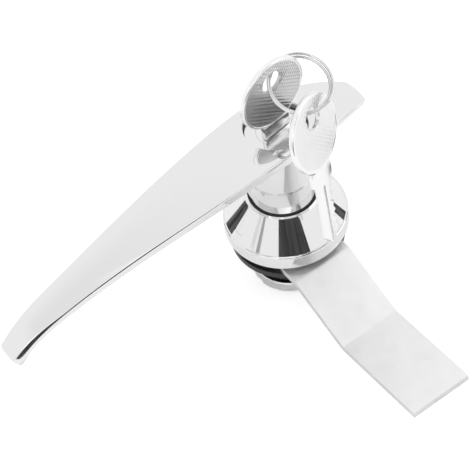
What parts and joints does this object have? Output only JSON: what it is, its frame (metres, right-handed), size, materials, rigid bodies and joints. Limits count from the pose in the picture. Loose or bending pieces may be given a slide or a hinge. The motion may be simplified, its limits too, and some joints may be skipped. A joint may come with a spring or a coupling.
{
  "type": "locking lever cabinet latch",
  "caption": "Keyed lever handle on a conical rosette that turns a cranked steel cam behind a cabinet door, with a key in its lock and a spare key on a split ring.",
  "frame": {"origin": "on the turning axis, at the rosette's underside, which is the door's outer face", "axes": "+Z along the turning axis out of the door, -X along the lever at rest, -Y along the cam at rest"},
  "size_m": [0.1186, 0.0879, 0.0861],
  "materials": {
    "chrome": "mirror-bright chrome plating on zinc casting",
    "zinc_steel": "clear zinc plating, satin",
    "nickel": "nickel plating, satin",
    "wire": "polished spring wire",
    "black_plastic": "moulded black nylon",
    "rubber": "moulded black rubber",
    "bronze": "sintered bronze",
    "brass": "stamped brass",
    "dark_steel": "oiled spring steel"
  },
  "bodies": {
    "base": {"rosette": "chrome", "bearing_bush": "bronze", "stop_pin": "dark_steel", "neck_seal": "rubber"},
    "lever": {"handle": "chrome", "lock_barrel": "chrome", "spindle": "zinc_steel", "cross_pin": "dark_steel", "retaining_ring": "dark_steel", "cam": "zinc_steel", "cam_spacer": "black_plastic", "spring_washer": "zinc_steel", "cam_nut": "zinc_steel"},
    "plug": {"lock_plug": "chrome", "wafer_tumblers": "brass", "drive_tail": "dark_steel", "tail_clip": "dark_steel"},
    "bolt": {"lock_bolt": "dark_steel"},
    "key": {"lock_key": "nickel"},
    "ring": {"key_ring": "wire"},
    "spare": {"spare_key": "nickel"}
  },
  "joints": [
    {"name": "lever_turn", "type": "hinge", "parent": "base", "child": "lever", "pos_m": [0, 0, 0], "axis": [0, 0, 1], "range_deg": [0, 90]},
    {"name": "key_turn", "type": "hinge", "parent": "lever", "child": "plug", "pos_m": [0, 0, 0.03], "axis": [0, 0, -1], "range_deg": [0, 36]},
    {"name": "bolt_slide", "type": "slide", "parent": "lever", "child": "bolt", "axis": [1, 0, 0], "range_m": [0, 0.0016]},
    {"name": "key_withdraw", "type": "slide", "parent": "plug", "child": "key", "axis": [0, 0, 1], "range_m": [0, 0.024]},
    {"name": "ring_swing", "type": "hinge", "parent": "key", "child": "ring", "pos_m": [0, 0, 0.0578], "axis": [-0.1219, 0.9925, 0], "range_deg": [-30, 0]},
    {"name": "spare_key_swing", "type": "hinge", "parent": "ring", "child": "spare", "pos_m": [0.00338, -0.01223, 0.05103], "axis": [-0.418, 0.8724, -0.2534], "range_deg": [-20, 20]}
  ],
  "couplings": [
    {"joint": "bolt_slide", "follows": "key_turn", "m_per_rad": 0.002164}
  ]
}
